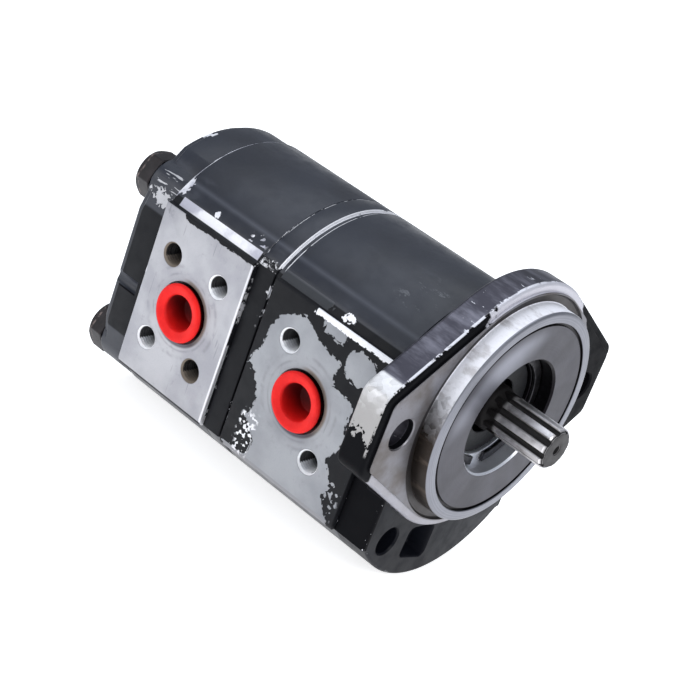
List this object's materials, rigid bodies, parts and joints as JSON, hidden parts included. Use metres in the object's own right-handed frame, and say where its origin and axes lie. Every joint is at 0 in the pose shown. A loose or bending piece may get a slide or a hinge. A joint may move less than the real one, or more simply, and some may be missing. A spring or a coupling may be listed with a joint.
{
  "type": "tandem hydraulic gear pump",
  "caption": "Tandem hydraulic gear pump with a two-bolt mounting flange, splined shaft, black painted castings and red port plugs.",
  "frame": {"origin": "on the drive shaft's axis, in the plane of the mounting flange's machined face", "axes": "+X along the drive shaft, out of its splined end; +Z from the driven gears to the drive gears; -Y out of the outlet port faces"},
  "size_m": [0.1814, 0.132, 0.1198],
  "materials": {
    "black_enamel": "gloss black enamel over cast iron, chipped at the edges, bare where machined",
    "hardened_steel": "ground, oiled",
    "bolt_steel": "dark brown-black, semi-gloss",
    "spring_steel": "bright",
    "aluminium_alloy": "machined",
    "bearing_bronze": "smooth",
    "black_rubber": "matte",
    "nylon": "matte",
    "red_plastic": "soft satin"
  },
  "bodies": {
    "housing": {"front_cover": "black_enamel", "rear_body": "black_enamel", "front_body": "black_enamel", "rear_cover": "black_enamel", "center_plate": "black_enamel", "shaft_seal": "black_rubber", "front_body_front_bearing_block": "aluminium_alloy", "front_body_rear_bearing_block": "aluminium_alloy", "rear_body_front_bearing_block": "aluminium_alloy", "rear_body_rear_bearing_block": "aluminium_alloy", "front_outlet_plug": "red_plastic", "rear_outlet_plug": "red_plastic", "front_inlet_plug": "red_plastic", "rear_inlet_plug": "red_plastic", "seal_retaining_ring": "spring_steel", "front_body_front_backup_seal": "nylon", "front_body_front_pressure_seal": "black_rubber", "front_body_rear_backup_seal": "nylon", "front_body_rear_pressure_seal": "black_rubber", "rear_body_front_backup_seal": "nylon", "rear_body_front_pressure_seal": "black_rubber", "rear_body_rear_backup_seal": "nylon", "rear_body_rear_pressure_seal": "black_rubber", "tie_bolt_upper_left": "bolt_steel", "tie_bolt_lower_left": "bolt_steel", "tie_bolt_upper_right": "bolt_steel", "tie_bolt_lower_right": "bolt_steel", "front_joint_seal": "black_rubber", "plate_front_joint_seal": "black_rubber", "plate_back_joint_seal": "black_rubber", "rear_joint_seal": "black_rubber", "front_body_front_drive_liner": "bearing_bronze", "front_body_front_driven_liner": "bearing_bronze", "front_body_rear_drive_liner": "bearing_bronze", "front_body_rear_driven_liner": "bearing_bronze", "rear_body_front_drive_liner": "bearing_bronze", "rear_body_front_driven_liner": "bearing_bronze", "rear_body_rear_drive_liner": "bearing_bronze", "rear_body_rear_driven_liner": "bearing_bronze", "front_dowel_1": "hardened_steel", "front_dowel_2": "hardened_steel", "plate_front_dowel_1": "hardened_steel", "plate_front_dowel_2": "hardened_steel", "plate_back_dowel_1": "hardened_steel", "plate_back_dowel_2": "hardened_steel", "rear_dowel_1": "hardened_steel", "rear_dowel_2": "hardened_steel"},
    "drive_train": {"drive_shaft": "hardened_steel", "shaft_coupling": "hardened_steel", "rear_drive_gear": "hardened_steel"},
    "front_driven": {"front_driven_gear": "hardened_steel"},
    "rear_driven": {"rear_driven_gear": "hardened_steel"}
  },
  "joints": [
    {"name": "drive_spin", "type": "hinge", "parent": "housing", "child": "drive_train", "pos_m": [0, 0, 0], "axis": [1, 0, 0], "continuous": true},
    {"name": "front_driven_spin", "type": "hinge", "parent": "housing", "child": "front_driven", "pos_m": [-0.0487, 0, -0.039], "axis": [1, 0, 0], "continuous": true},
    {"name": "rear_driven_spin", "type": "hinge", "parent": "housing", "child": "rear_driven", "pos_m": [-0.1092, 0, -0.039], "axis": [1, 0, 0], "continuous": true}
  ],
  "couplings": [
    {"joint": "front_driven_spin", "follows": "drive_spin", "ratio": -1},
    {"joint": "rear_driven_spin", "follows": "drive_spin", "ratio": -1}
  ]
}
